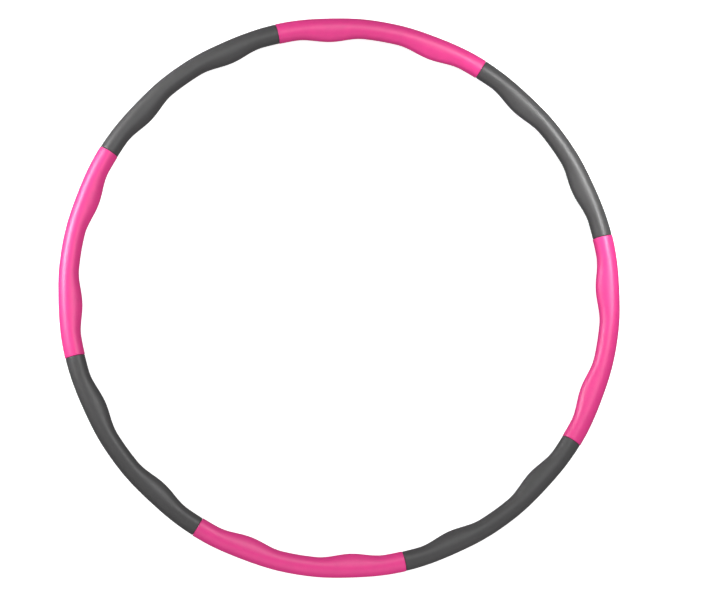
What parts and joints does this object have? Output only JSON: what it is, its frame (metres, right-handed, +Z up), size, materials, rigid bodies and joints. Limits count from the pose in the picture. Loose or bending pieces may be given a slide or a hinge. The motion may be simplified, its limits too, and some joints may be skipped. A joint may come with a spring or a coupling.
{
  "type": "sectional exercise hoop",
  "caption": "Foam-padded exercise hoop in plug-together sections with snap buttons and inward swells, alternating pink and dark grey.",
  "frame": {"origin": "on the floor under the hoop's centre, with the hoop lying flat on its finger-hole side", "axes": "+Z up along the hoop's axis; section 1 is centred on -Y and the sections count up anticlockwise seen from +Z"},
  "size_m": [0.95, 0.95, 0.0342],
  "materials": {
    "pink_foam": "satin skin",
    "grey_foam": "satin skin",
    "tube_steel": "zinc plated",
    "spigot_steel": "zinc plated",
    "pin_steel": "zinc plated",
    "spring_steel": "blued",
    "button_steel": "polished"
  },
  "bodies": {
    "section_1": {"foam_sleeve_1": "pink_foam", "core_tube_1": "tube_steel", "spigot_1": "spigot_steel", "spigot_pin_1": "pin_steel", "button_spring_1": "spring_steel"},
    "section_2": {"foam_sleeve_2": "grey_foam", "core_tube_2": "tube_steel", "spigot_2": "spigot_steel", "spigot_pin_2": "pin_steel", "button_spring_2": "spring_steel"},
    "section_3": {"foam_sleeve_3": "pink_foam", "core_tube_3": "tube_steel", "spigot_3": "spigot_steel", "spigot_pin_3": "pin_steel", "button_spring_3": "spring_steel"},
    "section_4": {"foam_sleeve_4": "grey_foam", "core_tube_4": "tube_steel", "spigot_4": "spigot_steel", "spigot_pin_4": "pin_steel", "button_spring_4": "spring_steel"},
    "section_5": {"foam_sleeve_5": "pink_foam", "core_tube_5": "tube_steel", "spigot_5": "spigot_steel", "spigot_pin_5": "pin_steel", "button_spring_5": "spring_steel"},
    "section_6": {"foam_sleeve_6": "grey_foam", "core_tube_6": "tube_steel", "spigot_6": "spigot_steel", "spigot_pin_6": "pin_steel", "button_spring_6": "spring_steel"},
    "section_7": {"foam_sleeve_7": "pink_foam", "core_tube_7": "tube_steel", "spigot_7": "spigot_steel", "spigot_pin_7": "pin_steel", "button_spring_7": "spring_steel"},
    "section_8": {"foam_sleeve_8": "grey_foam", "core_tube_8": "tube_steel", "spigot_8": "spigot_steel", "spigot_pin_8": "pin_steel", "button_spring_8": "spring_steel"},
    "button_1": {"snap_button_1": "button_steel"},
    "button_2": {"snap_button_2": "button_steel"},
    "button_3": {"snap_button_3": "button_steel"},
    "button_4": {"snap_button_4": "button_steel"},
    "button_5": {"snap_button_5": "button_steel"},
    "button_6": {"snap_button_6": "button_steel"},
    "button_7": {"snap_button_7": "button_steel"},
    "button_8": {"snap_button_8": "button_steel"}
  },
  "joints": [
    {"name": "pull_apart_1_2", "type": "slide", "parent": "section_1", "child": "section_2", "axis": [0.9081, 0.4187, 0], "range_m": [0, 0.04], "deforming": ["snap_button_1"]},
    {"name": "pull_apart_2_3", "type": "slide", "parent": "section_2", "child": "section_3", "axis": [0.3461, 0.9382, 0], "range_m": [0, 0.04], "deforming": ["snap_button_2"]},
    {"name": "pull_apart_3_4", "type": "slide", "parent": "section_3", "child": "section_4", "axis": [-0.4187, 0.9081, 0], "range_m": [0, 0.04], "deforming": ["snap_button_3"]},
    {"name": "pull_apart_4_5", "type": "slide", "parent": "section_4", "child": "section_5", "axis": [-0.9382, 0.3461, 0], "range_m": [0, 0.04], "deforming": ["snap_button_4"]},
    {"name": "pull_apart_5_6", "type": "slide", "parent": "section_5", "child": "section_6", "axis": [-0.9081, -0.4187, 0], "range_m": [0, 0.04], "deforming": ["snap_button_5"]},
    {"name": "pull_apart_6_7", "type": "slide", "parent": "section_6", "child": "section_7", "axis": [-0.3461, -0.9382, 0], "range_m": [0, 0.04], "deforming": ["snap_button_6"]},
    {"name": "pull_apart_7_8", "type": "slide", "parent": "section_7", "child": "section_8", "axis": [0.4187, -0.9081, 0], "range_m": [0, 0.04], "deforming": ["snap_button_7", "snap_button_8"]},
    {"name": "press_button_1", "type": "slide", "parent": "section_1", "child": "button_1", "axis": [0, 0, 1], "range_m": [0, 0.0029], "stiffness_N_per_m": 1500, "deforming": ["button_spring_1"]},
    {"name": "press_button_2", "type": "slide", "parent": "section_2", "child": "button_2", "axis": [0, 0, 1], "range_m": [0, 0.0029], "stiffness_N_per_m": 1500, "deforming": ["button_spring_2"]},
    {"name": "press_button_3", "type": "slide", "parent": "section_3", "child": "button_3", "axis": [0, 0, 1], "range_m": [0, 0.0029], "stiffness_N_per_m": 1500, "deforming": ["button_spring_3"]},
    {"name": "press_button_4", "type": "slide", "parent": "section_4", "child": "button_4", "axis": [0, 0, 1], "range_m": [0, 0.0029], "stiffness_N_per_m": 1500, "deforming": ["button_spring_4"]},
    {"name": "press_button_5", "type": "slide", "parent": "section_5", "child": "button_5", "axis": [0, 0, 1], "range_m": [0, 0.0029], "stiffness_N_per_m": 1500, "deforming": ["button_spring_5"]},
    {"name": "press_button_6", "type": "slide", "parent": "section_6", "child": "button_6", "axis": [0, 0, 1], "range_m": [0, 0.0029], "stiffness_N_per_m": 1500, "deforming": ["button_spring_6"]},
    {"name": "press_button_7", "type": "slide", "parent": "section_7", "child": "button_7", "axis": [0, 0, 1], "range_m": [0, 0.0029], "stiffness_N_per_m": 1500, "deforming": ["button_spring_7"]},
    {"name": "press_button_8", "type": "slide", "parent": "section_8", "child": "button_8", "axis": [0, 0, 1], "range_m": [0, 0.0029], "stiffness_N_per_m": 1500, "deforming": ["button_spring_8"]}
  ],
  "couplings": [
    {"joint": "pull_apart_2_3", "follows": "pull_apart_1_2", "ratio": 1},
    {"joint": "pull_apart_3_4", "follows": "pull_apart_1_2", "ratio": 1},
    {"joint": "pull_apart_4_5", "follows": "pull_apart_1_2", "ratio": 1},
    {"joint": "pull_apart_5_6", "follows": "pull_apart_1_2", "ratio": 1},
    {"joint": "pull_apart_6_7", "follows": "pull_apart_1_2", "ratio": 1},
    {"joint": "pull_apart_7_8", "follows": "pull_apart_1_2", "ratio": 1}
  ]
}
